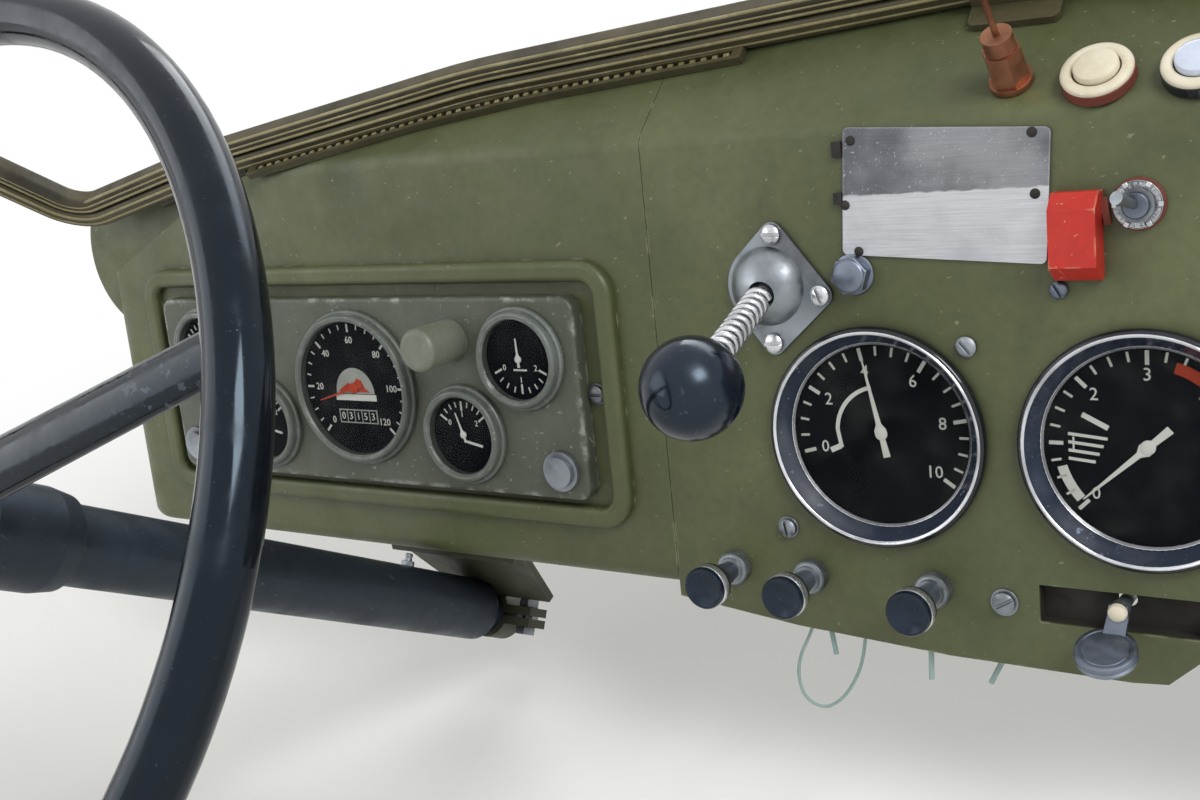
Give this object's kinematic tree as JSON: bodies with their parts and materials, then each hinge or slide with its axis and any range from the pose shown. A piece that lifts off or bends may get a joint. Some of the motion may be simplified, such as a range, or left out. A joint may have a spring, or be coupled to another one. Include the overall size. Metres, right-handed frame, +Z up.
{
  "type": "cargo truck dashboard with steering wheel",
  "caption": "Pressed steel truck cab dashboard with raised instrument panel, pressure gauges, controls, windscreen rail, glovebox and a raked steering wheel and column.",
  "frame": {"origin": "middle of the four bolt holes in the end brackets, on the face that bolts to the cab's front wall", "axes": "+X across the cab to the driver's right, +Y forward, +Z up"},
  "size_m": [1.4336, 0.7189, 0.5451],
  "materials": {
    "olive_paint": "worn satin olive paint on pressed sheet",
    "panel_paint": "worn satin grey-olive paint",
    "rail_paint": "worn dark olive paint",
    "black_paint": "worn satin black paint",
    "seal_rubber": "dull weathered rubber",
    "rim_metal": "worn plated rim",
    "rim_black": "glossy black rim",
    "dial_black": "matt black dial with white marks",
    "gauge_glass": "clear flat glass",
    "needle_white": "matt white",
    "wheel_black": "glossy black moulding, worn",
    "bakelite": "glossy black moulding",
    "steel": "dull plated steel",
    "plate_metal": "bare worn plate",
    "guard_red": "glossy red paint",
    "valve_copper": "tarnished copper-coloured metal",
    "lamp_white": "aged white moulding",
    "hood_paint": "grey-green paint",
    "wire_pale": "pale insulated wire"
  },
  "bodies": {
    "dash": {"dash_left": "olive_paint", "dash_centre": "olive_paint", "dash_right": "olive_paint", "windscreen_rail": "rail_paint", "windscreen_seal": "seal_rubber", "pillar_foot": "rail_paint", "defroster_strips": "rail_paint", "end_bracket_left": "olive_paint", "end_bracket_right": "olive_paint", "cluster_panel": "panel_paint", "speedometer_case": "rim_metal", "speedometer_dial": "dial_black", "speedometer_glass": "gauge_glass", "small_gauge_cases": "rim_metal", "small_gauge_dials": "dial_black", "small_gauge_glasses": "gauge_glass", "pressure_gauge_cases": "rim_black", "pressure_gauge_dials": "dial_black", "pressure_gauge_glasses": "gauge_glass", "gauge_needles": "needle_white", "lamp_hood": "hood_paint", "cluster_buttons": "steel", "lever_socket": "steel", "ball_lever": "bakelite", "data_plate": "plate_metal", "switch_guard": "guard_red", "toggle_switch": "steel", "pull_knobs": "bakelite", "heater_slide": "steel", "heater_lever": "steel", "shelf_valve": "valve_copper", "shelf_lamps": "lamp_white", "column_tube": "black_paint", "column_collar": "black_paint", "column_clamp": "olive_paint", "glovebox_bin": "olive_paint", "glovebox_hinge": "steel", "grab_handle": "black_paint", "wire_loop": "wire_pale"},
    "steering": {"wheel_rim": "wheel_black", "wheel_spokes": "wheel_black", "horn_button": "bakelite", "steering_shaft": "steel"},
    "glovebox_door": {"glovebox_lid": "panel_paint", "lid_latch": "steel"}
  },
  "joints": [
    {"name": "steering_turn", "type": "hinge", "parent": "dash", "child": "steering", "pos_m": [-0.408, -0.548, 0.118], "axis": [0, -0.7547, 0.6561], "continuous": true},
    {"name": "glovebox_hinge_turn", "type": "hinge", "parent": "dash", "child": "glovebox_door", "pos_m": [0.431, -0.23574, -0.05936], "axis": [1, 0, 0], "range_deg": [0, 90]}
  ]
}
